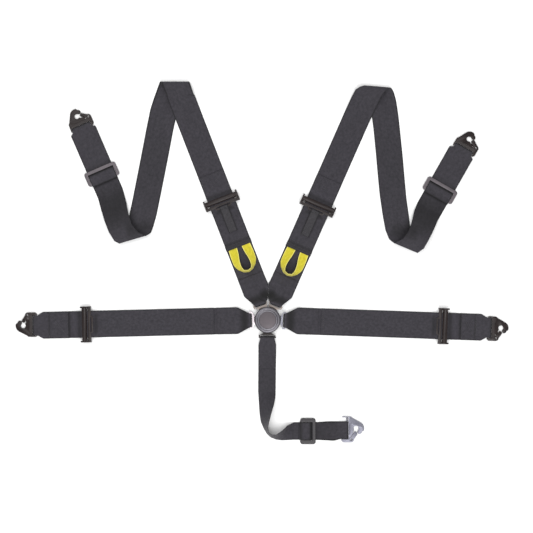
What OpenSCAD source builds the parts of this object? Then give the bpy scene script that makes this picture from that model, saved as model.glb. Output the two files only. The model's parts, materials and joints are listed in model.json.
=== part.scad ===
// Five-point racing harness lying flat: cam-lock buckle, two lap arms, two shoulder arms, one crotch arm.
// Origin: buckle axis at the buckle's back face. +Z up, X across the lap arms, +Y toward the shoulders.

/* [Webbing] */
// Width of the lap and shoulder webbing
web_w = 76; // [60:1:80]
// Width of the crotch webbing
crotch_w = 50; // [40:1:60]
// Thickness of the webbing
web_t = 1.3; // [1:0.1:2]
// Width of the fabric lift tab
tab_w = 25; // [20:1:30]
// Length of the lift tab beyond the adjuster
tab_len = 74; // [50:1:90]
// Length of the pull loop beyond the hem
pull_len = 75; // [50:1:90]

/* [Buckle] */
// Outer radius of the turning dial
dial_r = 37.2; // [35:0.1:40]
// Radius of the plain centre disc
disc_r = 24.2; // [20:0.1:28]
// Total height of the buckle
buckle_h = 25; // [22:0.5:30]
// Distance from the buckle axis to each lock pin
pin_ring = 26; // [25:0.5:27]
// Radius of a lock pin
pin_r = 3.5; // [3:0.1:3.8]
// Distance from the buckle axis to each tongue bar
tongue_bar = 48.6; // [46:0.1:52]
// Radius of the tongue bars and the hook bars
bar_r = 2; // [1.5:0.1:2.5]

/* [Arms] */
// Direction of the left lap arm
lap_left_deg = 181.4; // [178:0.1:184]
// Direction of the right lap arm
lap_right_deg = -2; // [-4:0.1:2]
// Direction of the left shoulder arm
sh_left_deg = 111.2; // [105:0.1:115]
// Direction of the right shoulder arm
sh_right_deg = 66.2; // [60:0.1:70]
// Direction of the crotch arm
crotch_deg = 269.5; // [265:0.1:275]
// Buckle axis to the left lap adjuster
lap_left_adj = 516; // [300:1:600]
// Buckle axis to the right lap adjuster
lap_right_adj = 500; // [300:1:600]
// Buckle axis to the left lap hook eye
lap_left_eye = 696; // [500:1:800]
// Buckle axis to the right lap hook eye
lap_right_eye = 665; // [500:1:800]
// Buckle axis to the left shoulder adjuster
sh_left_adj = 362; // [300:1:420]
// Buckle axis to the right shoulder adjuster
sh_right_adj = 354; // [300:1:420]

/* [Hooks] */
// Radius of the hook eye
eye_r = 7; // [6:0.1:9]
// Thickness of the hook plate
hook_t = 3; // [2:0.1:4]
// Distance from the hook eye back to its webbing bar
eye_bar = 30; // [25:1:40]
// Size of the crotch hook against the other four
crotch_hook_scale = 1.06; // [1:0.01:1.2]
// Distance from the slide's middle bar to the hook eye on the shoulder arms
slide_eye = 179; // [150:1:220]

/* [Display] */
// Node to draw

/* [Hidden] */
$fn = 48;
gap = 0.3;
eps = 0.01;
loop_c = bar_r + gap + web_t / 2;      // centre radius of webbing round a 4 mm bar
tongue_z = 10.3;                       // mid height of the tongues
hook_z = loop_c + web_t / 2 + 0.1;     // mid height of the hook plates
lay1 = web_t / 2 + 0.1;                // centre height of the first webbing layer
lay2 = lay1 + web_t + gap;             // second layer
lay3 = lay2 + web_t + gap;             // third layer
C_WEB = [0.16, 0.16, 0.18];
C_BLACK = [0.2, 0.17, 0.17];
C_SLIDE = [0.3, 0.29, 0.29];
C_GREY = [0.5, 0.5, 0.53];
C_SILVER = [0.78, 0.77, 0.77];
C_YELLOW = [0.8, 0.76, 0.18];
ARM_DEGS = [lap_left_deg, lap_right_deg, sh_left_deg, sh_right_deg, crotch_deg];

// ---------- shared functions ----------
function unit(v) = v / max(norm(v), 1e-9);
function arc_pts(c, r, a0, a1, n) = [for (i = [0:n]) let (a = a0 + (a1 - a0) * i / n)
  c + r * [cos(a), sin(a)]];
// Direction of a path at point i, and its left normal
function path_dir(p, i) = let (n = len(p) - 1)
  i == 0 ? unit(p[1] - p[0]) : i == n ? unit(p[n] - p[n - 1])
  : unit(unit(p[i] - p[i - 1]) + unit(p[i + 1] - p[i]));
function path_side(p, i, d) = let (t = path_dir(p, i), n = [-t[1], t[0]],
    c = i == 0 || i == len(p) - 1 ? 1 : max(0.5, n * [-unit(p[i + 1] - p[i])[1], unit(p[i + 1] - p[i])[0]]))
  p[i] + n * d / c;
// A band of thickness t along a path, as one outline
function band(p, t) = concat([for (i = [0:len(p) - 1]) path_side(p, i, t / 2)],
  [for (i = [len(p) - 1:-1:0]) path_side(p, i, -t / 2)]);
// A solid sheet of thickness t ruled between two edge curves given as [left, right] stations
function st_mid(s, i) = (s[i][0] + s[i][1]) / 2;
function st_normal(s, i) = let (n = len(s) - 1, a = max(i - 1, 0), b = min(i + 1, n))
  unit(cross(st_mid(s, b) - st_mid(s, a), s[i][0] - s[i][1]));
function sheet_pts(s, t) = [for (i = [0:len(s) - 1]) let (n = st_normal(s, i) * t / 2)
  each [s[i][0] + n, s[i][1] + n, s[i][1] - n, s[i][0] - n]];
function sheet_faces(m) = concat([[0, 1, 2], [0, 2, 3]],
  [for (i = [0:m - 2]) each [for (k = [0:3]) let (a = 4 * i + k, b = 4 * i + (k + 1) % 4)
    each [[a, a + 4, b + 4], [a, b + 4, b]]]],
  [[4 * m - 4, 4 * m - 2, 4 * m - 3], [4 * m - 4, 4 * m - 1, 4 * m - 2]]);
module sheet_solid(s, t) polyhedron(points = sheet_pts(s, t), faces = sheet_faces(len(s)), convexity = 8);

// ---------- placement ----------
module at_arm(deg) rotate([0, 0, deg]) children();
// Side profile (x, z) made w wide, then cut to a plan outline
module webbing(path, w, plan, t = web_t) intersection() {
  rotate([90, 0, 0]) translate([0, 0, -w / 2]) linear_extrude(height = w) polygon(band(path, t));
  translate([0, 0, -5]) linear_extrude(height = 60) polygon(plan);
}

// ---------- buckle ----------
module tongue_plan(h1, h2) polygon([[20, -5.5], [21.5, -7.1], [37, -12.2], [39, -14.5], [43, -h1], [50, -h1],
  [52, -h1 + 2], [52, h2 - 2], [50, h2], [43, h2 - 2], [39, 13.5], [37, 12.2], [21.5, 7.1], [20, 5.5]]);
module tongue(h1 = 24.5, h2 = 24.5, w1 = 20.3, w2 = 20.3, s1 = 1) mirror([0, s1 > 0 ? 0 : 1, 0]) {
  difference() {
    translate([0, 0, tongue_z - 1.5]) linear_extrude(height = 3) tongue_plan(h1, h2);
    translate([pin_ring, 0, 0]) cylinder(r = pin_r + 0.3, h = 30);
    translate([43.4, -w1, 0]) cube([20, w1 + w2, 30]);
  }
  translate([tongue_bar, w2 + 1.5, tongue_z]) rotate([90, 0, 0]) cylinder(r = bar_r, h = w1 + w2 + 3);
}
module slot_cut() for (a = ARM_DEGS) rotate([0, 0, a])
  translate([0, 0, tongue_z - 1.8]) linear_extrude(height = 3.6)
    polygon([[18.5, -6.4], [40, -13.6], [40, 13.6], [18.5, 6.4]]);
module pin_holes(r, z0, z1) for (a = ARM_DEGS) rotate([0, 0, a])
  translate([pin_ring, 0, z0]) cylinder(r = r, h = z1 - z0);
module buckle_cover() color(C_GREY) difference() {
  rotate_extrude() polygon([[0, 0], [31.5, 0], [33.5, 1], [33.5, 2.5], [0, 2.5]]);
  for (a = [30:120:270]) rotate([0, 0, a]) translate([20, 0, -1]) cylinder(r = 2.1, h = 5);
}
module buckle_screws() color(C_BLACK) for (a = [30:120:270]) rotate([0, 0, a]) translate([20, 0, 0.2]) {
  cylinder(r = 2, h = 6.3);
}
module buckle_housing() color(C_GREY) difference() {
  rotate_extrude() polygon([[10, 2.5], [34, 2.5], [35, 3.5], [35, 13.1], [34, 14.1], [10, 14.1]]);
  slot_cut();
  pin_holes(pin_r + 0.3, 7.5, 20);
  for (a = [30:120:270]) rotate([0, 0, a]) translate([20, 0, 0]) cylinder(r = 2.05, h = 6.6);
}
module buckle_post() color(C_SILVER) rotate_extrude()
  polygon([[0, 2.5], [9.6, 2.5], [9.6, 5], [5, 5], [5, 21.8], [0, 21.8]]);
// Turning dial: stepped ring, open below for the lock plate
module buckle_dial() color(C_GREY) rotate_extrude() polygon([
  [5.05, 18.5], [5.05, 22.2], [disc_r - 2, 22.2], [disc_r - 2, 23.2], [disc_r + 0.1, 23.2],
  [disc_r + 0.1, 24.4],
  [disc_r + 2.4, 24.4], [29.2, 23.6], [29.2, 22.6], [30.8, 22.6], [30.8, 23.4], [34.5, 22.8],
  [36.6, 21.2], [dial_r, 19], [dial_r, 15.6], [36, 14.5], [30.3, 14.5], [30.3, 20.6], [8, 20.6], [8, 18.5]]);
module dial_disc() color(C_GREY) rotate_extrude()
  polygon([[0, 22.25], [disc_r - 2.2, 22.25], [disc_r - 2.2, 23.25], [disc_r, 23.25], [disc_r, 24.3],
    [disc_r - 0.8, buckle_h - 0.1], [0, buckle_h]]);
module lock_plate() color(C_SILVER) {
  difference() {
    translate([0, 0, 14.5]) cylinder(r = 29.8, h = 1.5);
    cylinder(r = 9.2, h = 30);
  }
  pin_holes(pin_r, 8.2, 14.6);
}
module lock_spring() color(C_SILVER) rotate_extrude()
  polygon([[22, 16.1], [23, 16.1], [12.6, 20.5], [11.4, 20.5], [11.4, 19.9]]);
module tongue_lap_left() color(C_SILVER) at_arm(lap_left_deg) tongue();
module tongue_lap_right() color(C_SILVER) at_arm(lap_right_deg) tongue();
module tongue_sh_left() color(C_SILVER) at_arm(sh_left_deg) tongue(24.5, 17.2, 20.3, 14.3, -1);
module tongue_sh_right() color(C_SILVER) at_arm(sh_right_deg) tongue(24.5, 17.2, 20.3, 14.3, 1);
module tongue_crotch() color(C_BLACK) at_arm(crotch_deg) tongue();

// ---------- straps ----------
lock_u = -7;    // lock bar from the adjuster's datum
lock_z = 8.2;
lock_r = 4;
fix_u = 8;      // fixed bar
fix_z = 5.2;
fix_r = 2.8;
fix_c = fix_r + gap + web_t / 2;
lock_c = lock_r + gap + web_t / 2;
// Tongue loop: up from the flat, round the tongue bar, back on top to the cut end
function tongue_loop(cut) = concat(
  [[132, lay1], [100, 2.6], [72, 6.2]],
  arc_pts([tongue_bar, tongue_z], loop_c, -75, -285, 12),
  [[72, 9.4], [100, 4.6], [132, lay2], [cut, lay2]]);
// Tail from its end to the adjuster, round the lock bar, back below
function adj_loop(tail, adj) = concat(
  [[tail, lay2], [adj - 50, lay2], [adj - 38, 3.2], [adj - 26, 5.4], [adj - 17, 8.6], [adj - 11.5, 12.2]],
  arc_pts([adj + lock_u, lock_z], lock_c, 105, -95, 12),
  [[adj - 20, 1.9], [adj - 40, lay1]]);
module strap_lower(adj, tail, cut, plan) webbing(
  concat(adj_loop(tail, adj), tongue_loop(cut)), web_w, plan);
function lap_plan(adj) = [[44, -18], [51, -20], [84, -37.5], [90, -38.1], [adj, -38.1], [adj, 38.1],
  [90, 38.1], [84, 37.5], [51, 20], [44, 18]];
module strap_lap_left() color(C_WEB) at_arm(lap_left_deg)
  strap_lower(lap_left_adj, 152, 144, lap_plan(lap_left_adj));
module strap_lap_right() color(C_WEB) at_arm(lap_right_deg)
  strap_lower(lap_right_adj, 152, 144, lap_plan(lap_right_adj));
// Shoulder straps give way to each other on the inner side; s is the inner side
function lift(d) = (tongue_bar + d * 0.966) * 0.4142 - 0.35;
function sh_plan(adj, s) = [[44, -20 * s], [51, -20 * s], [84, -37 * s], [90, -38.1 * s], [adj, -38.1 * s],
  [adj, 38.1 * s], [106, 38.1 * s], [92, lift(43.4) * s], [72, lift(23.4) * s], [56, lift(7.4) * s],
  [52, 14 * s], [44, 14 * s]];
module strap_sh_left() color(C_WEB) at_arm(sh_left_deg)
  strap_lower(sh_left_adj, 223.3, 135, sh_plan(sh_left_adj, -1));
module strap_sh_right() color(C_WEB) at_arm(sh_right_deg)
  strap_lower(sh_right_adj, 214.3, 135, sh_plan(sh_right_adj, 1));
// Loop round a hook bar at x = b, arriving on layer one and leaving on top
function hook_loop(b) = concat([[b - 26, lay1]], arc_pts([b, hook_z], loop_c, -92, 95, 12));
module end_lap(adj, eye) webbing(concat(
  [[adj + 70, lay1], [adj + 26, lay1]],
  arc_pts([adj + fix_u, fix_z], fix_c, 290, 85, 12),
  [[adj + 26, 5], [adj + 44, lay2], [adj + 74, lay2], [adj + 84, lay1]],
  hook_loop(eye - eye_bar),
  [[eye - eye_bar - 12, 5], [eye - eye_bar - 30, 3.4], [adj + 80, lay2 + 0.6], [adj + 68, lay3],
    [adj + 50, lay3]]),
  web_w, [[adj, -38.1], [eye - 56, -38.1], [eye - 41, -29], [eye - 20, -28.5], [eye - 20, 28.5],
    [eye - 41, 29], [eye - 56, 38.1], [adj, 38.1]]);
module end_lap_left() color(C_WEB) at_arm(lap_left_deg) end_lap(lap_left_adj, lap_left_eye);
module end_lap_right() color(C_WEB) at_arm(lap_right_deg) end_lap(lap_right_adj, lap_right_eye);
// Upper shoulder webbing: sewn return on top, round the fixed bar, up the arm to x = 600
module upper_sh(adj) webbing(concat(
  [[adj + 85, lay2], [adj + 44, lay2], [adj + 26, 5]],
  arc_pts([adj + fix_u, fix_z], fix_c, 85, 290, 12),
  [[adj + 26, lay1], [600, lay1]]), web_w, [[adj, -40], [600, -40], [600, 40], [adj, 40]]);
module upper_sh_left() color(C_WEB) at_arm(sh_left_deg) upper_sh(sh_left_adj);
module upper_sh_right() color(C_WEB) at_arm(sh_right_deg) upper_sh(sh_right_adj);

// ---------- folded and turned webbing: [left edge, right edge] stations ----------
function arm_edge(deg, r, s, z) = let (d = [cos(deg), sin(deg)], p = r * d + s * web_w / 2 * [-d[1], d[0]])
  [p[0], p[1], z];
function arm_st(deg, r, z) = [arm_edge(deg, r, 1, z), arm_edge(deg, r, -1, z)];
function row(xc, y, h, z) = [[xc - h, y, z], [xc + h, y, z]];
// Roll of radius rr whose axis lies along X, from leg centre x0, drifting by k per unit of arc
function roll(x0, y0, h, rr, k, z) = [for (a = [0:30:180]) let (x = x0 + k * rr * a * PI / 180)
  [[x - h, y0 + rr * sin(a), z + rr + rr * cos(a)], [x + h, y0 + rr * sin(a), z + rr + rr * cos(a)]]];
SLIDE_L = [-472, 415];
SLIDE_L_DEG = 113.4;
SLIDE_R = [491, 369];
SLIDE_R_DEG = 60.4;
SLIDE_C = [115, -317];
SLIDE_C_DEG = 0;
function end_st(o, deg, u, w, z) = let (d = [cos(deg), sin(deg)], c = o + u * d, n = [-d[1], d[0]] * w / 2)
  [[c[0] + n[0], c[1] + n[1], z], [c[0] - n[0], c[1] - n[1], z]];
STATIONS_L = concat(
  [arm_st(sh_left_deg, 600.1, lay1), arm_st(sh_left_deg, 640, 2.8), arm_st(sh_left_deg, 672, 7)],
  [[[-288, 642, 13], [-210, 642, 13]]],
  roll(-259.8, 670, 40.7, 8, -0.388, lay1),
  [row(-283, 635, 40, lay1), row(-295, 600, 39.3, lay1), row(-307.5, 541, 38.8, lay1),
    row(-323.5, 457, 38.8, lay1), row(-343.5, 356, 38.8, lay1), row(-355, 300, 38.8, lay1)],
  [[[-402, 262, 1.5], [-325, 268, 1.5]], [[-411, 230, 6], [-332, 248, 6]], [[-421, 217, 16], [-343, 240, 18]],
    [[-434, 224, 26], [-365, 248, 31]], [[-450, 250, 26], [-385, 272, 29]],
    [[-463, 282, 18], [-394, 300, 20]], [[-473, 312, 9], [-402, 336, 10]]],
  [end_st(SLIDE_L, SLIDE_L_DEG, -60.1, web_w, lay1)]);
STATIONS_R = concat(
  [arm_st(sh_right_deg, 600.1, lay1), arm_st(sh_right_deg, 636, 2.8)],
  [[[238, 632, 6], [308, 602, 5]], [[250, 655, 13], [324, 634, 13]], [[263, 663, 16.5], [336, 653, 16.5]],
    [[275, 667, 12], [346, 661, 12]], [[280, 665, 6], [353, 660, 6]], [[284, 655, 1.6], [360, 649, 1.6]],
    [[290, 630, lay1], [367, 624, lay1]], [[296, 590, lay1], [373, 584, lay1]],
    [[302, 545, lay1], [378, 539, lay1]], [[309, 474, lay1], [385, 470, lay1]],
    [[315, 406, lay1], [391, 401, lay1]], [[320, 355, lay1], [396, 348, lay1]],
    [[328, 300, lay1], [404, 290, lay1]],
    [[336, 256, 1.5], [408, 248, 1.5]], [[346, 230, 6], [415, 210, 6]], [[360, 218, 18], [426, 190, 16]],
    [[383, 230, 31], [443, 203, 26]], [[399, 252, 29], [457, 228, 26]], [[408, 276, 20], [472, 256, 18]],
    [[417, 310, 10], [485, 284, 9]]],
  [end_st(SLIDE_R, SLIDE_R_DEG, -60.1, web_w, lay1)]);
STATIONS_C = [[[23.2, -205.2, lay1], [-26.8, -204.8, lay1]], [[22, -222, 13], [-25.5, -224, lay1]],
  [[18, -240.5, 25], [-24, -246, lay1]], [[12, -259, 35], [-22.5, -268, lay1]],
  [[6, -279.5, 42], [-19, -291, lay1]], [[1.5, -298, 45.5], [-11, -309.5, lay1]],
  [[2.5, -313.5, 46], [-1.5, -325, lay1]], [[10.5, -322, 45], [9, -335, lay1]],
  [[24, -322.5, 41], [24, -341, lay1]], [[40, -313, 33], [41, -343.5, lay1]],
  [[57, -299, 17], [58, -343, lay1]], [[74.9, -292, lay1], [74.9, -342, lay1]]];
module folded_sh_left() color(C_WEB) sheet_solid(STATIONS_L, web_t);
module folded_sh_right() color(C_WEB) sheet_solid(STATIONS_R, web_t);
module turned_crotch() color(C_WEB) sheet_solid(STATIONS_C, web_t);

// ---------- slide ends ----------
slide_z = 5.1;       // mid height of the slide
over = slide_z + 1.5 + gap + web_t / 2;
// Webbing through the slide, round the hook bar and back; b is the hook bar from the slide's middle bar
function slide_path(b) = concat(
  [[-60, lay1], [-10.5, lay1], [-7.4, 3], [-3.4, over], [3.4, over], [7.4, 3], [10.5, lay1]],
  hook_loop(b),
  [[b - 12, 5], [b - 34, lay2 + 0.4], [22, lay2], [11.6, lay2], [8.9, 4], [5, over + web_t + gap],
    [-5, over + web_t + gap], [-12, over + 0.25], [-21, over], [-25, over - 0.8]]);
// n and n2 are its half-widths on the two sides of the bar, reached t before it over a length of run
module slide_webbing(b, w, n, n2, t, run) webbing(slide_path(b), w, [[-60, -w / 2 - 1],
  [b - t - run, -w / 2 - 1], [b - t, -n2], [b + 8, -n2], [b + 8, n], [b - t, n],
  [b - t - run, w / 2 + 1], [-60, w / 2 + 1]]);
module at_slide(o, deg) translate([o[0], o[1], 0]) rotate([0, 0, deg]) children();
module end_sh_left() color(C_WEB) at_slide(SLIDE_L, SLIDE_L_DEG)
  slide_webbing(slide_eye - eye_bar, web_w, 28.5, 28.5, 10.7, 3);
module end_sh_right() color(C_WEB) at_slide(SLIDE_R, SLIDE_R_DEG)
  slide_webbing(slide_eye - 11 - eye_bar, web_w, 28.5, 28.5, 10.7, 3);
crotch_eye = 137;
crotch_eye_bar = 24;    // eye to bar, before scaling
crotch_bar = crotch_eye - crotch_eye_bar * crotch_hook_scale;
module end_crotch() color(C_WEB) at_slide(SLIDE_C, SLIDE_C_DEG) difference() {
  slide_webbing(crotch_bar, crotch_w, crotch_w / 2, 22.6, 19, 15);
  translate([-80, -40, -5]) cube([40, 80, 30]);
}
// Three-bar slide: outer frame and middle bar
mid_bar = 4.4;
frame_bar = 9;
module slide(w, l, win) difference() {
  translate([-l / 2, -w / 2, slide_z - 1.5]) {
    translate([7, 0, 0]) cube([l - 14, w, 3]);
    translate([0, 7, 0]) cube([l, w - 14, 3]);
    for (x = [7, l - 7], y = [7, w - 7]) translate([x, y, 0]) cylinder(r = 7, h = 3);
  }
  for (s = [-1, 1]) translate([s > 0 ? mid_bar / 2 : frame_bar - l / 2, -win / 2, 0])
    cube([l / 2 - frame_bar - mid_bar / 2, win, 30]);
}
module slide_sh_left() color(C_SLIDE) at_slide(SLIDE_L, SLIDE_L_DEG) slide(96, 41, web_w + 1.2);
module slide_sh_right() color(C_SLIDE) at_slide(SLIDE_R, SLIDE_R_DEG) slide(96, 41, web_w + 1.2);
module slide_crotch() color(C_SLIDE) at_slide(SLIDE_C, SLIDE_C_DEG) slide(74, 44, crotch_w + 1.2);

// ---------- adjusters ----------
adj_hw = 51;        // half the adjuster's width
flange_t = 4.5;
module cyl_y(r, h, x, z) translate([x, h / 2, z]) rotate([90, 0, 0]) cylinder(r = r, h = h);
module flange_plan() polygon([[-13, 2.5], [-11, 1], [9, 1], [11.5, 3.5], [11.5, 10.5], [16.8, 10.5],
  [16.8, 12.4], [13, 14.8], [8, 15.5], [-8, 16.2], [-12, 16.2], [-14.5, 14], [-14.5, 5]]);
module adjuster() difference() {
  union() {
    for (s = [-1, 1]) translate([0, s * (adj_hw - flange_t / 2) + flange_t / 2, 0]) rotate([90, 0, 0])
      linear_extrude(height = flange_t) flange_plan();
    cyl_y(fix_r, 2 * adj_hw - 1, fix_u, fix_z);
    intersection() {
      difference() {
        cyl_y(9, 2 * adj_hw - 2, 5, 6.5);
        cyl_y(7.4, 2 * adj_hw + 2, 5, 6.5);
      }
      translate([-10, -60, 12.3]) cube([30, 120, 10]);
    }
    translate([0, 0, 14.2]) linear_extrude(height = 2) difference() {
      polygon([[-6, -49.5], [-6, 49.5], [-14.5, 49.5], [-14.5, 30], [-12.5, 26], [-20, 22.5], [-20, -22.5],
        [-12.5, -26], [-14.5, -30], [-14.5, -49.5]]);
      translate([-15.5, -21]) square([4.2, 42]);
    }
  }
  cyl_y(2.56, 2 * adj_hw + 2, lock_u, lock_z);
}
module lock_bar() {
  cyl_y(lock_r, 2 * (adj_hw - flange_t) - 1, lock_u, lock_z);
  cyl_y(2.5, 2 * adj_hw + 1, lock_u, lock_z);
}
module at_adj(deg, adj) at_arm(deg) translate([adj, 0, 0]) children();
module adjuster_lap_left() color(C_BLACK) at_adj(lap_left_deg, lap_left_adj) adjuster();
module adjuster_lap_right() color(C_BLACK) at_adj(lap_right_deg, lap_right_adj) adjuster();
module adjuster_sh_left() color(C_BLACK) at_adj(sh_left_deg, sh_left_adj) adjuster();
module adjuster_sh_right() color(C_BLACK) at_adj(sh_right_deg, sh_right_adj) adjuster();
module bar_lap_left() color(C_SILVER) at_adj(lap_left_deg, lap_left_adj) lock_bar();
module bar_lap_right() color(C_SILVER) at_adj(lap_right_deg, lap_right_adj) lock_bar();
module bar_sh_left() color(C_SILVER) at_adj(sh_left_deg, sh_left_adj) lock_bar();
module bar_sh_right() color(C_SILVER) at_adj(sh_right_deg, sh_right_adj) lock_bar();
// Fabric lift tab, folded double round the bar of the lift plate
tab_u = -17.75;
tab_z = 15.2;
module lift_tab() webbing(concat([[tab_u - tab_len, 4.9], [-52, 4.9], [-36, 7.2], [-25, 11]],
  arc_pts([tab_u, tab_z], 3.3, 225, -95, 14),
  [[-28, 8.9], [-36, 5.9], [-52, 3.75 + 0.05], [tab_u - tab_len, 3.8]]), tab_w,
  [[-110, -30], [0, -30], [0, 30], [-110, 30]], 0.9);
module tab_sh_left() color(C_WEB) at_adj(sh_left_deg, sh_left_adj) lift_tab();
module tab_sh_right() color(C_WEB) at_adj(sh_right_deg, sh_right_adj) lift_tab();
// Pull loop: flat U of narrow webbing from the hem toward the buckle
module pull_loop() translate([0, 0, 2.1]) linear_extrude(height = 2) difference() {
  polygon([[0, -35.5], [-38, -34], [-56, -29], [-68, -20], [-74, -9], [-pull_len, 0], [-74, 9], [-68, 20],
    [-56, 29], [-38, 34], [0, 35.5]]);
  polygon([[1, -7.5], [-28, -10.5], [-48, -13.5], [-58, -12.5], [-64, -8], [-66.5, 0], [-64, 8], [-58, 12.5],
    [-48, 13.5], [-28, 10.5], [1, 7.5]]);
}
module hem_bar() translate([-3, -35.5, 2.1]) cube([3.0, 71, 2]);
module pull() {
  pull_loop();
  hem_bar();
}
module pull_sh_left() color(C_YELLOW) at_arm(sh_left_deg) translate([222.1, 0, 0]) pull();
module pull_sh_right() color(C_YELLOW) at_arm(sh_right_deg) translate([213.1, 0, 0]) pull();

// ---------- snap hooks: origin at the eye, tip outward, gate on the -Y side ----------
PIV = [-12.5, -30];      // the gate's pivot
gate_dir = 55.5;         // the closed gate's direction from its pivot
rivet_r = 3.8;
wall_lo = hook_z - hook_t / 2 - gap - 1;    // underside of the gate's lower wall
wall_hi = hook_z + hook_t / 2 + 1.4;        // underside of its upper wall
module hook_outline() polygon(concat(
  arc_pts([9.4, -8.4], 6.6, -150, 0, 7), arc_pts([3.5, 0], 18.4, -18, 70, 8), [[-9, 27.5], [-14, 31.6]],
  [[-35, 32.4], [-40, 28.5], [-39, -34], [-34, -37.6], [-12.5, -37.6]], arc_pts(PIV, 7, -70, 40, 5),
  [[-9.4, -21], [-7.6, -8], [-5.2, -5], [4.7, -5]]));
module hook(bar = eye_bar) {
  difference() {
    translate([0, 0, hook_z - hook_t / 2]) linear_extrude(height = hook_t) hook_outline();
    cylinder(r = eye_r, h = 30);
    translate([-60, -29.6, 0]) cube([60 - bar + 4.2, 59.2, 30]);
    translate([PIV[0], PIV[1], 0]) cylinder(r = 3.0, h = 30);
  }
  translate([-bar, 31, hook_z]) rotate([90, 0, 0]) cylinder(r = bar_r, h = 62);
  intersection() {
    translate([-17, 13, hook_z + hook_t / 2 - 0.5]) rotate([90, 0, 0]) cylinder(r = 1.3, h = 30);
    translate([-30, -30, hook_z]) cube([60, 60, 10]);
  }
  translate([PIV[0], PIV[1], 0]) difference() {
    union() {
      translate([0, 0, 0.3]) cylinder(r = rivet_r, h = wall_hi + 1.5);
      translate([0, 0, 0.3]) cylinder(r = 5, h = wall_lo - 0.35);
      translate([0, 0, wall_hi + 1.05]) cylinder(r = 5, h = 0.75);
    }
    translate([0, 0, -1]) cylinder(r = 3.0, h = 30);
  }
}
module gate_plan(l, inner, outer) {
  circle(r = 6.2);
  polygon([[0, -outer], [l - 3, -outer], [l, -outer + 3], [l, inner - 2], [l - 2, inner], [0, inner]]);
}
module gate() translate([PIV[0], PIV[1], 0]) rotate([0, 0, gate_dir]) difference() {
  union() {
    translate([0, 0, wall_lo]) linear_extrude(height = 1) gate_plan(24, 4.6, 5.1);
    translate([0, 0, wall_hi]) linear_extrude(height = 1) gate_plan(24, 4.6, 5.1);
    translate([7.5, -5.1, wall_lo]) cube([14, 1.2, wall_hi + 1 - wall_lo]);
  }
  cylinder(r = rivet_r + 0.05, h = 40, center = true);
}
module gate_coil() translate([PIV[0], PIV[1], hook_z + hook_t / 2 + 0.68]) {
  rotate_extrude() translate([4.75, 0]) circle(r = 0.5);
  rotate([0, 0, 105]) translate([4.4, -1, 0]) rotate([0, 90, 0]) cylinder(r = 0.5, h = 7);
}
module at_eye(deg, r) at_arm(deg) translate([r, 0, 0]) children();
module at_slide_eye(o, deg, r, dy = 0) at_slide(o, deg) translate([r, dy, 0]) children();
module hook_c() translate([0, 0, hook_z * (1 - crotch_hook_scale)]) scale(crotch_hook_scale) children();
eye_c_dy = 8;
module hook_lap_left() color(C_BLACK) at_eye(lap_left_deg, lap_left_eye) hook();
module hook_lap_right() color(C_BLACK) at_eye(lap_right_deg, lap_right_eye) hook();
module hook_sh_left() color(C_BLACK) at_slide_eye(SLIDE_L, SLIDE_L_DEG, slide_eye) hook();
module hook_sh_right() color(C_BLACK) at_slide_eye(SLIDE_R, SLIDE_R_DEG, slide_eye - 11) hook();
module hook_crotch() color(C_GREY) at_slide_eye(SLIDE_C, SLIDE_C_DEG, crotch_eye, eye_c_dy)
  hook_c() hook(crotch_eye_bar);
module gate_lap_left() color(C_BLACK) at_eye(lap_left_deg, lap_left_eye) gate();
module gate_lap_right() color(C_BLACK) at_eye(lap_right_deg, lap_right_eye) gate();
module gate_sh_left() color(C_BLACK) at_slide_eye(SLIDE_L, SLIDE_L_DEG, slide_eye) gate();
module gate_sh_right() color(C_BLACK) at_slide_eye(SLIDE_R, SLIDE_R_DEG, slide_eye - 11) gate();
module gate_crotch() color(C_GREY) at_slide_eye(SLIDE_C, SLIDE_C_DEG, crotch_eye, eye_c_dy) hook_c() gate();
module spring_lap_left() color(C_SILVER) at_eye(lap_left_deg, lap_left_eye) gate_coil();
module spring_lap_right() color(C_SILVER) at_eye(lap_right_deg, lap_right_eye) gate_coil();
module spring_sh_left() color(C_SILVER) at_slide_eye(SLIDE_L, SLIDE_L_DEG, slide_eye) gate_coil();
module spring_sh_right() color(C_SILVER) at_slide_eye(SLIDE_R, SLIDE_R_DEG, slide_eye - 11) gate_coil();
module spring_crotch() color(C_SILVER) at_slide_eye(SLIDE_C, SLIDE_C_DEG, crotch_eye, eye_c_dy)
  hook_c() gate_coil();

// Crotch strap: tongue loop sewn on top, then flat down the arm
module strap_crotch() color(C_WEB) at_arm(crotch_deg) webbing(
  concat([[205, lay1]], tongue_loop(140)), crotch_w,
  [[44, -19], [52, -20], [58, -24], [64, -25.1], [205, -25.1], [205, 25.1], [64, 25.1], [58, 24], [52, 20],
    [44, 19]]);

buckle_cover();
buckle_housing();
buckle_post();
buckle_screws();
buckle_dial();
dial_disc();
lock_plate();
lock_spring();
tongue_lap_left();
tongue_lap_right();
tongue_sh_left();
tongue_sh_right();
tongue_crotch();
strap_lap_left();
strap_lap_right();
end_lap_left();
end_lap_right();
strap_sh_left();
strap_sh_right();
upper_sh_left();
upper_sh_right();
folded_sh_left();
folded_sh_right();
end_sh_left();
end_sh_right();
strap_crotch();
turned_crotch();
end_crotch();
adjuster_lap_left();
adjuster_lap_right();
adjuster_sh_left();
adjuster_sh_right();
bar_lap_left();
bar_lap_right();
bar_sh_left();
bar_sh_right();
tab_sh_left();
tab_sh_right();
pull_sh_left();
pull_sh_right();
slide_sh_left();
slide_sh_right();
slide_crotch();
hook_lap_left();
hook_lap_right();
hook_sh_left();
hook_sh_right();
hook_crotch();
gate_lap_left();
gate_lap_right();
gate_sh_left();
gate_sh_right();
gate_crotch();
spring_lap_left();
spring_lap_right();
spring_sh_left();
spring_sh_right();
spring_crotch();
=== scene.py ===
"""Looks for a five-point racing harness lying flat. Metres, in the CAD's own frame."""
import json
import math

import bmesh
import bpy
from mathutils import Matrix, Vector, noise

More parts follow.
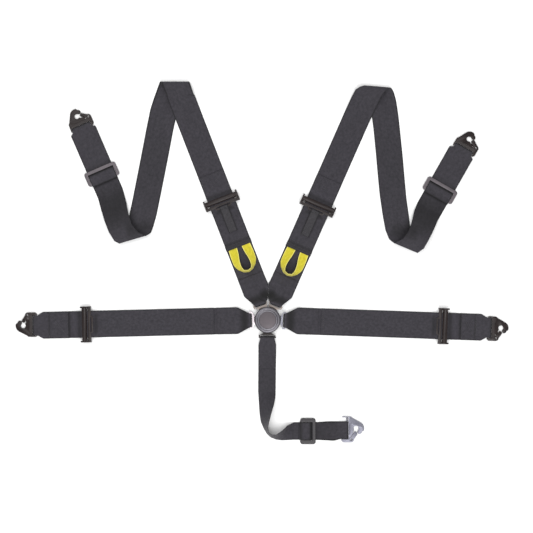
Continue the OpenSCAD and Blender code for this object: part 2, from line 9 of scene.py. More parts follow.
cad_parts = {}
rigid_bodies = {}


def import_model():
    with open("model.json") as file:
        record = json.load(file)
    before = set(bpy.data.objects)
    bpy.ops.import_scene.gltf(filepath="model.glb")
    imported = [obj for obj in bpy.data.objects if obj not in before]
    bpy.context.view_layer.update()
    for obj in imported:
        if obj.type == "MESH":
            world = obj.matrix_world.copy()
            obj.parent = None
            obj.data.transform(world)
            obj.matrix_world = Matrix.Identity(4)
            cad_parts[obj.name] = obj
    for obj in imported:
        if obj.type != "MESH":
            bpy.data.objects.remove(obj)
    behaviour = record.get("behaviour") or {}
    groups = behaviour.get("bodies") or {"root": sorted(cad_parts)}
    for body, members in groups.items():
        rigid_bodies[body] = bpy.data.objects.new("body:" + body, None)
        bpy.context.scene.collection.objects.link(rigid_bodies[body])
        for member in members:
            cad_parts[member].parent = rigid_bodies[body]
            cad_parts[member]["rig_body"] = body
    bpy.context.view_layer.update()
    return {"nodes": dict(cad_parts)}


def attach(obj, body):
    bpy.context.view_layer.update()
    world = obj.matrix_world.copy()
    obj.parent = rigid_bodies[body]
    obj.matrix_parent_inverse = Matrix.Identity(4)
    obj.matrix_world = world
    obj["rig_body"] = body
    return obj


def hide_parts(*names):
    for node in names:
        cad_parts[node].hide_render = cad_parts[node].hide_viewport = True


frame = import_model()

MM = 0.001

# ------------------------------------------------------------------ camera first
VIEW_X, VIEW_Y = -0.003, 0.152       # what the camera looks straight down on
CAMERA_Z = 3.59
LENS, SENSOR = 85, 36                # mm
cam_data = bpy.data.cameras.new("view_camera")
cam_data.lens = LENS
cam_data.sensor_width = SENSOR
cam = bpy.data.objects.new("view_camera", cam_data)
cam.location = (VIEW_X, VIEW_Y, CAMERA_Z)
cam.rotation_euler = (0, 0, 0)
bpy.context.collection.objects.link(cam)
bpy.context.scene.camera = cam

# ------------------------------------------------------------------ sizes, in mm, as the CAD has them
WEB_W, CROTCH_W, WEB_T = 76.0, 50.0, 1.3
HALF_W = WEB_W / 2
GAP = 0.3                            # between pieces that move against each other
SKIN_T = 1.16                        # drawn webbing, a little thinner than its CAD solid
TAB_T = 0.8
BAR_R = 2.0
LOOP_C = BAR_R + GAP + WEB_T / 2     # webbing's middle, from the bar it goes round
TONGUE_BAR, TONGUE_Z = 48.6, 10.3
HOOK_Z = LOOP_C + WEB_T / 2 + 0.1
LAY1 = WEB_T / 2 + 0.1               # middle of a first, second and third layer on the floor
LAY2 = LAY1 + WEB_T + GAP
LAY3 = LAY2 + WEB_T + GAP
LOCK_U, LOCK_Z, LOCK_C = -7.0, 8.2, 4 + GAP + WEB_T / 2      # the adjuster's lock bar
FIX_U, FIX_Z, FIX_C = 8.0, 5.2, 2.8 + GAP + WEB_T / 2        # and its fixed bar
EYE_BAR = 30.0                       # from a hook's eye back to its webbing bar
SLIDE_Z = 5.1
OVER = SLIDE_Z + 1.5 + GAP + WEB_T / 2
# each arm: its direction in degrees, and how far out its adjuster and its hook's eye are (0: on a slide)
ARMS = {"lap_left": (181.4, 516, 696), "lap_right": (-2.0, 500, 665),
        "sh_left": (111.2, 362, 0), "sh_right": (66.2, 354, 0)}
CROTCH_DEG = 269.5
# each slide: its middle, the direction towards its hook in degrees, and how far out the hook's eye is
SLIDES = {"sh_left": ((-472, 415), 113.4, 179), "sh_right": ((491, 369), 60.4, 168),
          "crotch": ((115, -317), 0.0, 137)}
CROTCH_BAR = 137 - 24 * 1.06         # the crotch hook is smaller than the others
HEM_AT = {"sh_left": 223.3, "sh_right": 214.3}         # how far out the shoulder straps' hems are
PULL_AT = {"sh_left": 222.1, "sh_right": 213.1}        # and the pull loops' hinges
FOLD_FROM = 600                      # where a shoulder's outer strap starts to bend towards its folds
CROTCH_STRAIGHT = 205                # where the crotch strap starts to turn over


def direction(deg):
    """The unit vectors along a direction and to its left."""
    a = math.radians(deg)
    return Vector((math.cos(a), math.sin(a), 0)), Vector((-math.sin(a), math.cos(a), 0))


def arc(cx, cz, r, a0, a1, n=24):
    """Points round part of a circle, from a0 to a1 degrees."""
    out = []
    for i in range(n + 1):
        a = math.radians(a0 + (a1 - a0) * i / n)
        out.append((cx + r * math.cos(a), cz + r * math.sin(a)))
    return out


# ------------------------------------------------------------------ the webbing's routes (see the CAD)
def tongue_loop(cut):
    """Round the tongue's bar and back on itself to a cut end."""
    return ([(132, LAY1), (100, 2.6), (72, 6.2)] + arc(TONGUE_BAR, TONGUE_Z, LOOP_C, -75, -285)
            + [(72, 9.4), (100, 4.6), (132, LAY2), (cut, LAY2)])


def adj_loop(tail, adj):
    """From the loose tail up round the adjuster's lock bar and back under."""
    return ([(tail, LAY2), (adj - 50, LAY2), (adj - 38, 3.2), (adj - 26, 5.4), (adj - 17, 8.6),
             (adj - 11.5, 12.2)] + arc(adj + LOCK_U, LOCK_Z, LOCK_C, 105, -95)
            + [(adj - 20, 1.9), (adj - 40, LAY1)])


def hook_loop(b):
    """Up round the hook's webbing bar, which is at b."""
    return [(b - 26, LAY1)] + arc(b, HOOK_Z, LOOP_C, -92, 95)


def end_lap(adj, eye):
    """From the adjuster's fixed bar to the hook, sewn back on itself."""
    b = eye - EYE_BAR
    return ([(adj + 70, LAY1), (adj + 26, LAY1)] + arc(adj + FIX_U, FIX_Z, FIX_C, 290, 85)
            + [(adj + 26, 5), (adj + 44, LAY2), (adj + 74, LAY2), (adj + 84, LAY1)] + hook_loop(b)
            + [(b - 12, 5), (b - 30, 3.4), (adj + 80, LAY2 + 0.6), (adj + 68, LAY3), (adj + 50, LAY3)])


def upper_sh(adj):
    """From the adjuster's fixed bar out to where the folds begin."""
    return ([(adj + 85, LAY2), (adj + 44, LAY2), (adj + 26, 5)]
            + arc(adj + FIX_U, FIX_Z, FIX_C, 85, 290) + [(adj + 26, LAY1), (FOLD_FROM, LAY1)])


def slide_path(b):
    """Over the slide, round the hook's bar and back over, from the slide's middle."""
    top = OVER + WEB_T + GAP
    return ([(-60, LAY1), (-10.5, LAY1), (-7.4, 3), (-3.4, OVER), (3.4, OVER), (7.4, 3), (10.5, LAY1)]
            + hook_loop(b)
            + [(b - 12, 5), (b - 34, LAY2 + 0.4), (22, LAY2), (11.6, LAY2), (8.9, 4), (5, top), (-5, top),
               (-12, OVER + 0.25), (-21, OVER), (-25, OVER - 0.8)])


def arm_point(deg, r, side, z):
    """A point on the left (1) or right (-1) edge of an arm's webbing."""
    d, n = direction(deg)
    p = d * r + n * (side * HALF_W)
    return (p.x, p.y, z)


def arm_station(deg, r, z):
    """Both edges of an arm's webbing, r along it."""
    return (arm_point(deg, r, 1, z), arm_point(deg, r, -1, z))


def row(xc, y, h, z):
    """A station lying along x."""
    return ((xc - h, y, z), (xc + h, y, z))


def roll(x0, y0, h, radius, drift, z, n=12):
    """Half a turn of webbing over the top fold, drifting sideways as it goes."""
    out = []
    for i in range(n + 1):
        a = math.pi * i / n
        out.append(row(x0 + drift * radius * a, y0 + radius * math.sin(a), h,
                       z + radius + radius * math.cos(a)))
    return out


def folded_left():
    """The left shoulder's long folds, as its webbing lies on the floor."""
    deg = ARMS["sh_left"][0]
    return ([arm_station(deg, 610, LAY1), arm_station(deg, 640, 2.8), arm_station(deg, 672, 7),
             ((-288, 642, 13), (-210, 642, 13))]
            + roll(-259.8, 670, 40.7, 8, -0.388, LAY1)
            + [row(-283, 635, 40, LAY1), row(-295, 600, 39.3, LAY1), row(-307.5, 541, 38.8, LAY1),
               row(-323.5, 457, 38.8, LAY1), row(-343.5, 356, 38.8, LAY1), row(-355, 300, 38.8, LAY1),
               ((-402, 262, 1.5), (-325, 268, 1.5)), ((-411, 230, 6), (-332, 248, 6)),
               ((-421, 217, 16), (-343, 240, 18)), ((-434, 224, 26), (-365, 248, 31)),
               ((-450, 250, 26), (-385, 272, 29)), ((-463, 282, 18), (-394, 300, 20)),
               ((-473, 312, 9), (-402, 336, 10))])


def folded_right():
    """The right shoulder's, which starts with a half turn rather than a roll."""
    deg = ARMS["sh_right"][0]
    flat = [((290, 630), (367, 624)), ((296, 590), (373, 584)), ((302, 545), (378, 539)),
            ((309, 474), (385, 470)), ((315, 406), (391, 401)), ((320, 355), (396, 348)),
            ((328, 300), (404, 290))]
    return ([arm_station(deg, 610, LAY1), arm_station(deg, 636, 2.8),
             ((238, 632, 6), (308, 602, 5)), ((250, 655, 13), (324, 634, 13)),
             ((263, 663, 16.5), (336, 653, 16.5)), ((275, 667, 12), (346, 661, 12)),
             ((280, 665, 6), (353, 660, 6)), ((284, 655, 1.6), (360, 649, 1.6))]
            + [((*a, LAY1), (*b, LAY1)) for a, b in flat]
            + [((336, 256, 1.5), (408, 248, 1.5)), ((346, 230, 6), (415, 210, 6)),
               ((360, 218, 18), (426, 190, 16)), ((383, 230, 31), (443, 203, 26)),
               ((399, 252, 29), (457, 228, 26)), ((408, 276, 20), (472, 256, 18)),
               ((417, 310, 10), (485, 284, 9))])


def turned_crotch():
    """The crotch strap stands on its edge as it turns towards its hook."""
    return [((22, -222, 13), (-25.5, -224, LAY1)), ((18, -240.5, 25), (-24, -246, LAY1)),
            ((12, -259, 35), (-22.5, -268, LAY1)), ((6, -279.5, 42), (-19, -291, LAY1)),
            ((1.5, -298, 45.5), (-11, -309.5, LAY1)), ((2.5, -313.5, 46), (-1.5, -325, LAY1)),
            ((10.5, -322, 45), (9, -335, LAY1)), ((24, -322.5, 41), (24, -341, LAY1)),
            ((40, -313, 33), (41, -343.5, LAY1)), ((57, -299, 17), (58, -343, LAY1))]


# ------------------------------------------------------------------ half-widths along each arm
def steps(table, x):
    """Linear steps between (x, value) pairs."""
    if x <= table[0][0]:
        return table[0][1]
    for (x0, a), (x1, b) in zip(table, table[1:]):
        if x <= x1:
            return a + (b - a) * (x - x0) / (x1 - x0)
    return table[-1][1]


# (distance from the buckle's axis, half-width), where the webbing narrows to its tongue's bar
LAP_HALF = [(44, 18), (51, 20), (84, 37.5), (90, 38)]
INNER_HALF = [(44, 13.9), (51, 13.9), (53.5, 21), (56, 24), (72, 32), (92, 40), (106, 38)]
CROTCH_HALF = [(44, 19), (52, 20), (70, 25)]
SEAM_SLOPE = 0.4142                  # tangent of half the angle between the shoulder straps
SEAM_CLEAR = 0.25


def lap_half(x):
    return steps(LAP_HALF, x)


def full_half(_):
    return HALF_W


def clip_inner(x):
    """The shoulder straps' inner edges run along their seam beside the buckle."""
    d = max(0.0, x - TONGUE_BAR)
    return min(steps(INNER_HALF, x), (TONGUE_BAR + d * 0.98) * SEAM_SLOPE - SEAM_CLEAR)


def crotch_half(x):
    return steps(CROTCH_HALF, x)


def narrowing(*table):
    """A half-width that follows a table."""
    return lambda x: steps(table, x)


def even(half):
    """The same half-width all along."""
    return lambda _: half


# ------------------------------------------------------------------ stations: [left, right] in 3D
def in_arm(deg, path, half_left, half_right, origin=(0, 0)):
    """Stations along a direction, from a path of (distance, height) pairs."""
    d, n = direction(deg)
    o = Vector((origin[0], origin[1], 0))
    fine = [path[0]]
    for (x0, z0), (x1, z1) in zip(path, path[1:]):
        n_steps = max(1, math.ceil(math.hypot(x1 - x0, z1 - z0) / 3))
        fine += [(x0 + (x1 - x0) * i / n_steps, z0 + (z1 - z0) * i / n_steps) for i in range(1, n_steps + 1)]
    out = []
    for x, z in fine:
        c = o + d * x
        a, b = c + n * half_left(x), c - n * half_right(x)
        out.append(((a.x, a.y, z), (b.x, b.y, z)))
    return out


def dense(stations, most=5.0):
    """Points no further than most apart, then the corners cut twice."""
    pts = [(Vector(a), Vector(b)) for a, b in stations]
    out = [pts[0]]
    for (a0, b0), (a1, b1) in zip(pts, pts[1:]):
        length = ((a1 + b1) - (a0 + b0)).length / 2
        n = max(1, math.ceil(length / most))
        for i in range(1, n + 1):
            t = i / n
            out.append((a0.lerp(a1, t), b0.lerp(b1, t)))
    for _ in range(2):
        cut = [out[0]]
        for (a0, b0), (a1, b1) in zip(out, out[1:]):
            cut.append((a0.lerp(a1, 0.25), b0.lerp(b1, 0.25)))
            cut.append((a0.lerp(a1, 0.75), b0.lerp(b1, 0.75)))
        cut.append(out[-1])
        out = cut
    return thin(out)


TINY = 1e-6
PLAIN_STEP, LEAST_STEP = 4.0, 0.5    # mm between stations on straight and on bent stretches


def thin(pts):
    """Leave out stations that come closer than they need to."""
    kept = [pts[0]]
    for i in range(1, len(pts) - 1):
        c0 = (kept[-1][0] + kept[-1][1]) / 2
        c1 = (pts[i][0] + pts[i][1]) / 2
        c2 = (pts[i + 1][0] + pts[i + 1][1]) / 2
        step, turn = (c1 - c0).length, 0.0
        if step > TINY and (c2 - c1).length > TINY:
            turn = (c1 - c0).angle(c2 - c1)
        wider = abs((pts[i][0] - pts[i][1]).length - (kept[-1][0] - kept[-1][1]).length)
        if step >= PLAIN_STEP or (step >= LEAST_STEP and (turn > 0.05 or wider > 0.6)):
            kept.append(pts[i])
    kept.append(pts[-1])
    return kept


# ------------------------------------------------------------------ soft waviness, the same for every layer
METAL_SPOTS = []                     # (x, y, reach) in mm, where the webbing is held flat
LONG_WAVE, SHORT_WAVE = 95.0, 38.0   # mm
SETTLE = 45.0                        # how gradually the waves start beyond a flat spot, mm


def ripple(x, y):
    """How far the webbing rises off the floor at a place, in mm."""
    p = Vector((x / LONG_WAVE, y / LONG_WAVE, 0.3))
    q = Vector((x / SHORT_WAVE, y / SHORT_WAVE, 4.1))
    still = 1.0
    for sx, sy, reach in METAL_SPOTS:
        d = math.hypot(x - sx, y - sy)
        still = min(still, max(0.0, (d - reach) / SETTLE))
    return max(0.0, still * (0.55 * (noise.noise(p) + 0.45) + 0.12 * (noise.noise(q) + 0.5)))


# ------------------------------------------------------------------ painted shade and painted highlight patches on the webbing
PAINTED_SHADE_PATCHES = []       # (x, y, direction, half length, half width, strength): positive paints shade, negative paints a highlight


def painted_shade_at(x, y):
    """How bright the webbing is painted at a place: 1 is plain, less as painted shade where folds and
    hardware shade it, more as a painted highlight on crests.
    """
    k = 1.0
    for cx, cy, deg, half_long, half_wide, strength in PAINTED_SHADE_PATCHES:
        d, n = direction(deg)
        du = ((x - cx) * d.x + (y - cy) * d.y) / half_long
        dv = abs((x - cx) * n.x + (y - cy) * n.y) / half_wide
        if abs(du) < 1 and dv < 1.3:
            k *= 1 - strength * (1 - du * du) ** 2 * min(1.0, (1.3 - dv) / 0.3)
    return k


def finish_mesh(name, bm, mats, smooth=True):
    """A linked object from a bmesh."""
    me = bpy.data.meshes.new(name)
    bm.to_mesh(me)
    bm.free()
    for p in me.polygons:
        p.use_smooth = smooth
    ob = bpy.data.objects.new(name, me)
    bpy.context.collection.objects.link(ob)
    for m in mats:
        ob.data.materials.append(m)
    return ob


# columns of points across a strip, as shares of its half-width: close together at the rounded edges
EDGE_U = [0.9935, 0.975, 0.94]
INNER_N = 12
COLS = ([-1.0] + [-u for u in EDGE_U]
        + [-EDGE_U[-1] + 2 * EDGE_U[-1] * i / INNER_N for i in range(1, INNER_N)]
        + list(reversed(EDGE_U)) + [1.0])


def half_thick(u, t):
    """The woven edge is rounded."""
    e = max(0.0, (abs(u) - 0.965) / 0.035)
    return t / 2 * math.sqrt(max(0.0, 1 - e * e))


class Strip:
    """A band of webbing ruled between two edge curves, with its length and width as its UV map."""

    def __init__(self, stations, t=SKIN_T, wavy=True, with_painted_shade=True):
        self.pts = dense(stations)
        self.t = t
        self.with_painted_shade = with_painted_shade
        self.wavy = wavy
        self.cum = [0.0]
        for (a0, b0), (a1, b1) in zip(self.pts, self.pts[1:]):
            self.cum.append(self.cum[-1] + ((a1 + b1) - (a0 + b0)).length / 2)
        self.normals = []
        last = len(self.pts) - 1
        for i, (a, b) in enumerate(self.pts):
            p, q = self.pts[max(0, i - 1)], self.pts[min(last, i + 1)]
            along = (q[0] + q[1]) - (p[0] + p[1])
            n = along.cross(a - b)
            self.normals.append(n.normalized() if n.length > 1e-9 else Vector((0, 0, 1)))

    @property
    def length(self):
        return self.cum[-1]

    def lifted(self, p):
        if not self.wavy:
            return p
        return Vector((p.x, p.y, p.z + ripple(p.x, p.y)))

    def point(self, v, u, side=1, above=0.0):
        """A point on a face: v mm along, u from -1 to 1 across (1 is the left edge)."""
        lo, hi = 0, len(self.cum) - 1
        while hi - lo > 1:
            mid = (lo + hi) // 2
            if self.cum[mid] <= v:
                lo = mid
            else:
                hi = mid
        span = max(1e-9, self.cum[hi] - self.cum[lo])
        f = min(1.0, max(0.0, (v - self.cum[lo]) / span))
        a, b = self.pts[lo][0].lerp(self.pts[hi][0], f), self.pts[lo][1].lerp(self.pts[hi][1], f)
        n = self.normals[lo].lerp(self.normals[hi], f).normalized()
        c = b.lerp(a, (u + 1) / 2)
        return self.lifted(c + n * (side * (half_thick(u, self.t) + above))), n * side

    def near(self, x, y, v0=0.0, v1=1e9):
        """How far along the strip its middle is nearest to a place, between v0 and v1."""
        best, at = 1e18, v0
        for (a, b), v in zip(self.pts, self.cum):
            if v0 <= v <= v1:
                c = (a + b) / 2
                d = (c.x - x) ** 2 + (c.y - y) ** 2
                if d < best:
                    best, at = d, v
        return at

    def half(self, v):
        """The half-width v mm along."""
        a, _ = self.point(v, 1)
        b, _ = self.point(v, -1)
        return (a - b).length / 2

    def mesh(self, name, mats):
        bm = bmesh.new()
        uv = bm.loops.layers.uv.new("weave")
        rings, marks = [], []
        for i, (a, b) in enumerate(self.pts):
            n = self.normals[i]
            half = (a - b).length / 2
            ring, mark = [], []
            for u in COLS:
                c = b.lerp(a, (u + 1) / 2)
                ring.append(bm.verts.new(self.lifted(c + n * half_thick(u, self.t)) * MM))
                mark.append((u * half, self.cum[i]))
            for u in reversed(COLS[1:-1]):
                c = b.lerp(a, (u + 1) / 2)
                ring.append(bm.verts.new(self.lifted(c - n * half_thick(u, self.t)) * MM))
                mark.append((u * half, self.cum[i]))
            rings.append(ring)
            marks.append(mark)
        m = len(rings[0])
        for i in range(len(rings) - 1):
            for k in range(m):
                j = (k + 1) % m
                f = bm.faces.new((rings[i][k], rings[i][j], rings[i + 1][j], rings[i + 1][k]))
                corners = (marks[i][k], marks[i][j], marks[i + 1][j], marks[i + 1][k])
                for loop, (u, v) in zip(f.loops, corners):
                    loop[uv].uv = (u / UV_UNIT, v / UV_UNIT)
        for ring, mark, flip in ((rings[0], marks[0], True), (rings[-1], marks[-1], False)):
            top, low = ring[:len(COLS)], [ring[0]] + list(reversed(ring[len(COLS):])) + [ring[len(COLS) - 1]]
            for k in range(len(COLS) - 1):
                quad = [top[k], top[k + 1], low[k + 1], low[k]]
                face = []
                for v in quad:
                    if v not in face:
                        face.append(v)
                if len(face) > 2:
                    f = bm.faces.new(face if flip else list(reversed(face)))
                    for loop in f.loops:
                        at = ring.index(loop.vert)
                        loop[uv].uv = (mark[at][0] / UV_UNIT, mark[at][1] / UV_UNIT)
        bmesh.ops.recalc_face_normals(bm, faces=bm.faces)
        ob = finish_mesh(name, bm, mats)
        # tone holds painted shade and painted highlights, one value for each vertex
        tone = ob.data.attributes.new("tone", "FLOAT", "POINT")
        for i, v in enumerate(ob.data.vertices):
            tone.data[i].value = painted_shade_at(v.co.x / MM, v.co.y / MM) if self.with_painted_shade else 1.0
        return ob


THREAD_WIDE, THREAD_HIGH = 0.42, 0.34


def add_stitch(bm, p0, p1, n):
    """One stitch: a small rounded bar of thread lying along p0 to p1 (mm)."""
    d = p1 - p0
    if d.length < TINY:
        return
    side = n.cross(d).normalized()
    rings = []
    for t, k in ((0.0, 0.25), (0.18, 0.85), (0.5, 1.0), (0.82, 0.85), (1.0, 0.25)):
        c = p0.lerp(p1, t)
        ring = []
        for a in range(6):
            ang = math.tau * a / 6
            out = side * (math.cos(ang) * THREAD_WIDE * k) + n * (math.sin(ang) * THREAD_HIGH * k)
            ring.append(bm.verts.new((c + out) * MM))
        rings.append(ring)
    for r0, r1 in zip(rings, rings[1:]):
        for k in range(6):
            bm.faces.new((r0[k], r0[(k + 1) % 6], r1[(k + 1) % 6], r1[k]))
    bm.faces.new(list(reversed(rings[0])))
    bm.faces.new(rings[-1])


# ------------------------------------------------------------------ materials
class Mat:
    """A Principled material and short names for the nodes that feed it."""

    def __init__(self, name, **constants):
        self.mat = bpy.data.materials.new(name)
        self.mat.use_nodes = True
        self.tree = self.mat.node_tree
        self.tree.nodes.clear()
        out = self.tree.nodes.new("ShaderNodeOutputMaterial")
        self.bsdf = self.tree.nodes.new("ShaderNodeBsdfPrincipled")
        self.join(self.bsdf.outputs[0], out.inputs[0])
        for key, value in constants.items():
            self.bsdf.inputs[key.replace("_", " ")].default_value = value

    def join(self, a, b):
        self.tree.links.new(a, b)

    def feed(self, socket, value):
        if hasattr(value, "is_output"):
            self.join(value, socket)
        else:
            socket.default_value = value

    def math(self, op, a, b=0.0, c=0.0):
        n = self.tree.nodes.new("ShaderNodeMath")
        n.operation = op
        for socket, value in zip(n.inputs, (a, b, c)):
            self.feed(socket, value)
        return n.outputs[0]

    def split(self, vector):
        n = self.tree.nodes.new("ShaderNodeSeparateXYZ")
        self.join(vector, n.inputs[0])
        return n.outputs

    def uv(self):
        n = self.tree.nodes.new("ShaderNodeUVMap")
        n.uv_map = "weave"
        return n.outputs[0]

    def with_painted_shade(self, colour):
        """The colour, brighter or darker by the mesh's own tone attribute, which holds painted shade and
        painted highlights.
        """
        tone = self.tree.nodes.new("ShaderNodeAttribute")
        tone.attribute_name = "tone"
        n = self.tree.nodes.new("ShaderNodeVectorMath")
        n.operation = "SCALE"
        self.join(colour, n.inputs[0])
        self.join(tone.outputs["Fac"], n.inputs["Scale"])
        return n.outputs[0]

    def place(self):
        n = self.tree.nodes.new("ShaderNodeTexCoord")
        return n.outputs["Object"]

    def stretch(self, vector, scale):
        n = self.tree.nodes.new("ShaderNodeMapping")
        self.join(vector, n.inputs["Vector"])
        n.inputs["Scale"].default_value = scale
        return n.outputs[0]

    def noise(self, vector, scale, detail=2.0, rough=0.5):
        n = self.tree.nodes.new("ShaderNodeTexNoise")
        self.join(vector, n.inputs["Vector"])
        n.inputs["Scale"].default_value = scale
        n.inputs["Detail"].default_value = detail
        n.inputs["Roughness"].default_value = rough
        return n.outputs[0]

    def remap(self, value, a0, a1, b0, b1):
        n = self.tree.nodes.new("ShaderNodeMapRange")
        self.join(value, n.inputs["Value"])
        for key, v in (("From Min", a0), ("From Max", a1), ("To Min", b0), ("To Max", b1)):
            n.inputs[key].default_value = v
        return n.outputs[0]

    def mix(self, how_much, a, b):
        n = self.tree.nodes.new("ShaderNodeMix")
        n.data_type = "RGBA"
        self.feed(n.inputs[0], how_much)
        self.feed(n.inputs[6], a)
        self.feed(n.inputs[7], b)
        return n.outputs[2]

    def bump(self, height, distance, strength=1.0, under=None):
        n = self.tree.nodes.new("ShaderNodeBump")
        n.inputs["Strength"].default_value = strength
        n.inputs["Distance"].default_value = distance
        self.join(height, n.inputs["Height"])
        if under is not None:
            self.join(under, n.inputs["Normal"])
        return n.outputs[0]

    def worn_edge(self, radius):
        """1 on sharp edges and 0 on flats, from how far the rounded normal leans from the true one."""
        bevel = self.tree.nodes.new("ShaderNodeBevel")
        bevel.samples = 4
        bevel.inputs["Radius"].default_value = radius
        geo = self.tree.nodes.new("ShaderNodeNewGeometry")
        dot = self.tree.nodes.new("ShaderNodeVectorMath")
        dot.operation = "DOT_PRODUCT"
        self.join(bevel.outputs[0], dot.inputs[0])
        self.join(geo.outputs["Normal"], dot.inputs[1])
        return self.remap(dot.outputs["Value"], 0.98, 0.80, 0.0, 1.0)


def rgb(r, g, b):
    """A display colour, 0 to 255, as linear light."""
    def lin(v):
        v = v / 255
        return v / 12.92 if v <= 0.04045 else ((v + 0.055) / 1.055) ** 2.4
    return (lin(r), lin(g), lin(b), 1)


RIB = 1.9                            # one lengthwise rib of the webbing, mm
PICK = 0.95                          # one crosswise pick, mm
SCRATCH = 0.00003                    # depth of the metal's brushing, m
UV_UNIT = 100.0                      # mm of webbing to one unit of its UV map


def webbing(name, half, light, dark, edge, rib=RIB, pick=PICK, sheen=0.09):
    """Woven polyester: ribs along, picks zigzagging across them, tight selvedges; the selvedges and the
    groove beside them are also darkened as painted shade.
    """
    m = Mat(name, Metallic=0.0, Sheen_Weight=sheen, Sheen_Roughness=0.45, Specular_IOR_Level=0.35)
    uv = m.uv()
    u, v, _ = m.split(uv)
    across = m.math("MULTIPLY", u, UV_UNIT)
    along = m.math("MULTIPLY", v, UV_UNIT)
    zig = m.math("PINGPONG", across, rib)
    slanted = m.math("ADD", along, m.math("MULTIPLY", zig, 0.9))
    wave = m.math("SINE", m.math("MULTIPLY", slanted, math.tau / pick))
    ridge = m.math("SINE", m.math("MULTIPLY", across, math.tau / rib))
    threads = m.math("ADD", m.math("MULTIPLY", wave, 0.5), m.math("MULTIPLY", ridge, 0.5))
    weave = m.remap(threads, -1.0, 1.0, 0.0, 1.0)
    from_mid = m.math("ABSOLUTE", across)
    selvedge_and_shade = m.remap(from_mid, half - 2.6, half - 1.4, 0.0, 1.0)
    groove_and_shade = m.remap(m.math("ABSOLUTE", m.math("SUBTRACT", from_mid, half - 3.0)), 0.0, 0.7, 1.0, 0.0)
    streak = m.noise(m.stretch(uv, (120, 3, 1)), 1.0, 3.0)
    cloud = m.noise(m.stretch(uv, (4, 1.6, 1)), 1.0, 4.0, 0.6)
    lint = m.remap(m.noise(m.stretch(uv, (70, 55, 1)), 1.0, 2.0), 0.70, 0.80, 0.0, 1.0)
    mottle = m.noise(m.stretch(uv, (14, 11, 1)), 1.0, 3.0, 0.65)
    tone = m.math("ADD", m.math("MULTIPLY", weave, 0.4),
                  m.math("ADD", m.math("MULTIPLY", streak, 0.35), m.math("MULTIPLY", cloud, 0.3)))
    tone = m.math("ADD", tone, m.math("MULTIPLY", m.math("SUBTRACT", mottle, 0.47), 1.6))
    colour = m.mix(tone, dark, light)
    # darker selvedges: the tighter weave there, and painted shade on the rounded edges
    colour = m.mix(m.math("MULTIPLY", selvedge_and_shade, 0.85), colour, edge)
    # painted shade in the groove beside each selvedge
    colour = m.mix(m.math("MULTIPLY", groove_and_shade, 0.35), colour, dark)
    colour = m.mix(m.math("MULTIPLY", lint, 0.18), colour, tuple(min(1, 3 * c) for c in light[:3]) + (1,))
    # the woven colour, scaled by the painted shade and highlights of the tone attribute
    m.join(m.with_painted_shade(colour), m.bsdf.inputs["Base Color"])
    m.join(m.remap(m.math("ADD", weave, cloud), 0.2, 1.8, 0.86, 0.66), m.bsdf.inputs["Roughness"])
    soft = m.bump(cloud, 0.0006, 0.25)
    height = m.math("SUBTRACT", weave, m.math("MULTIPLY", groove_and_shade, 0.5))
    m.join(m.bump(height, 0.00022, 0.8, soft), m.bsdf.inputs["Normal"])
    return m.mat


def thread(name, light, dark):
    """Twisted sewing thread."""
    m = Mat(name, Metallic=0.0, Sheen_Weight=0.2, Sheen_Roughness=0.4)
    place = m.place()
    twist = m.noise(m.stretch(place, (2600, 2600, 2600)), 1.0, 1.0)
    age = m.noise(place, 60.0, 2.0)
    tone = m.math("MULTIPLY", m.math("ADD", twist, age), 0.5)
    m.join(m.mix(tone, dark, light), m.bsdf.inputs["Base Color"])
    m.join(m.remap(age, 0.3, 0.7, 0.5, 0.7), m.bsdf.inputs["Roughness"])
    m.join(m.bump(twist, 0.0001, 0.6), m.bsdf.inputs["Normal"])
    return m.mat


def brushed(name, light, dark, rough, metallic=1.0, edge=None, edge_r=0.0006, coat=0.0, centred=False,
            specular=0.5):
    """Brushed, satin or painted metal, with its scratches, smudges and rubbed edges."""
    m = Mat(name, Metallic=metallic, Coat_Weight=coat, Coat_Roughness=0.2, Specular_IOR_Level=specular)
    place = m.place()
    if centred:
        x, y, z = m.split(place)
        ring = m.math("SQRT", m.math("ADD", m.math("MULTIPLY", x, x), m.math("MULTIPLY", y, y)))
        join = m.tree.nodes.new("ShaderNodeCombineXYZ")
        m.join(ring, join.inputs[0])
        m.join(z, join.inputs[1])
        lines = m.noise(m.stretch(join.outputs[0], (2600, 900, 1)), 1.0, 2.0)
    else:
        lines = m.noise(m.stretch(place, (40, 1200, 1200)), 1.0, 2.0)
    smudge = m.noise(place, 45.0, 4.0, 0.6)
    speck = m.remap(m.noise(place, 900.0, 2.0), 0.66, 0.74, 0.0, 1.0)
    tone = m.math("ADD", m.math("MULTIPLY", lines, 0.5), m.math("MULTIPLY", smudge, 0.5))
    colour = m.mix(m.remap(tone, 0.3, 0.7, 0.0, 1.0), dark, light)
    colour = m.mix(m.math("MULTIPLY", speck, 0.15), colour, dark)
    if edge is not None:
        worn = m.math("MULTIPLY", m.worn_edge(edge_r), m.remap(smudge, 0.35, 0.6, 0.35, 1.0))
        colour = m.mix(worn, colour, edge)
    m.join(colour, m.bsdf.inputs["Base Color"])
    m.join(m.remap(tone, 0.25, 0.75, rough - 0.07, rough + 0.09), m.bsdf.inputs["Roughness"])
    fine = m.bump(lines, SCRATCH, 0.5)
    m.join(m.bump(smudge, 0.0002, 0.08, fine), m.bsdf.inputs["Normal"])
    return m.mat


def floor_paint():
    """Matt white, barely uneven."""
    m = Mat("floor", Metallic=0.0, Specular_IOR_Level=0.2)
    place = m.place()
    cloud = m.noise(place, 3.0, 4.0)
    m.join(m.mix(cloud, rgb(243, 243, 243), rgb(247, 247, 247)), m.bsdf.inputs["Base Color"])
    m.join(m.remap(m.noise(place, 400.0), 0.3, 0.7, 0.7, 0.85), m.bsdf.inputs["Roughness"])
    return m.mat


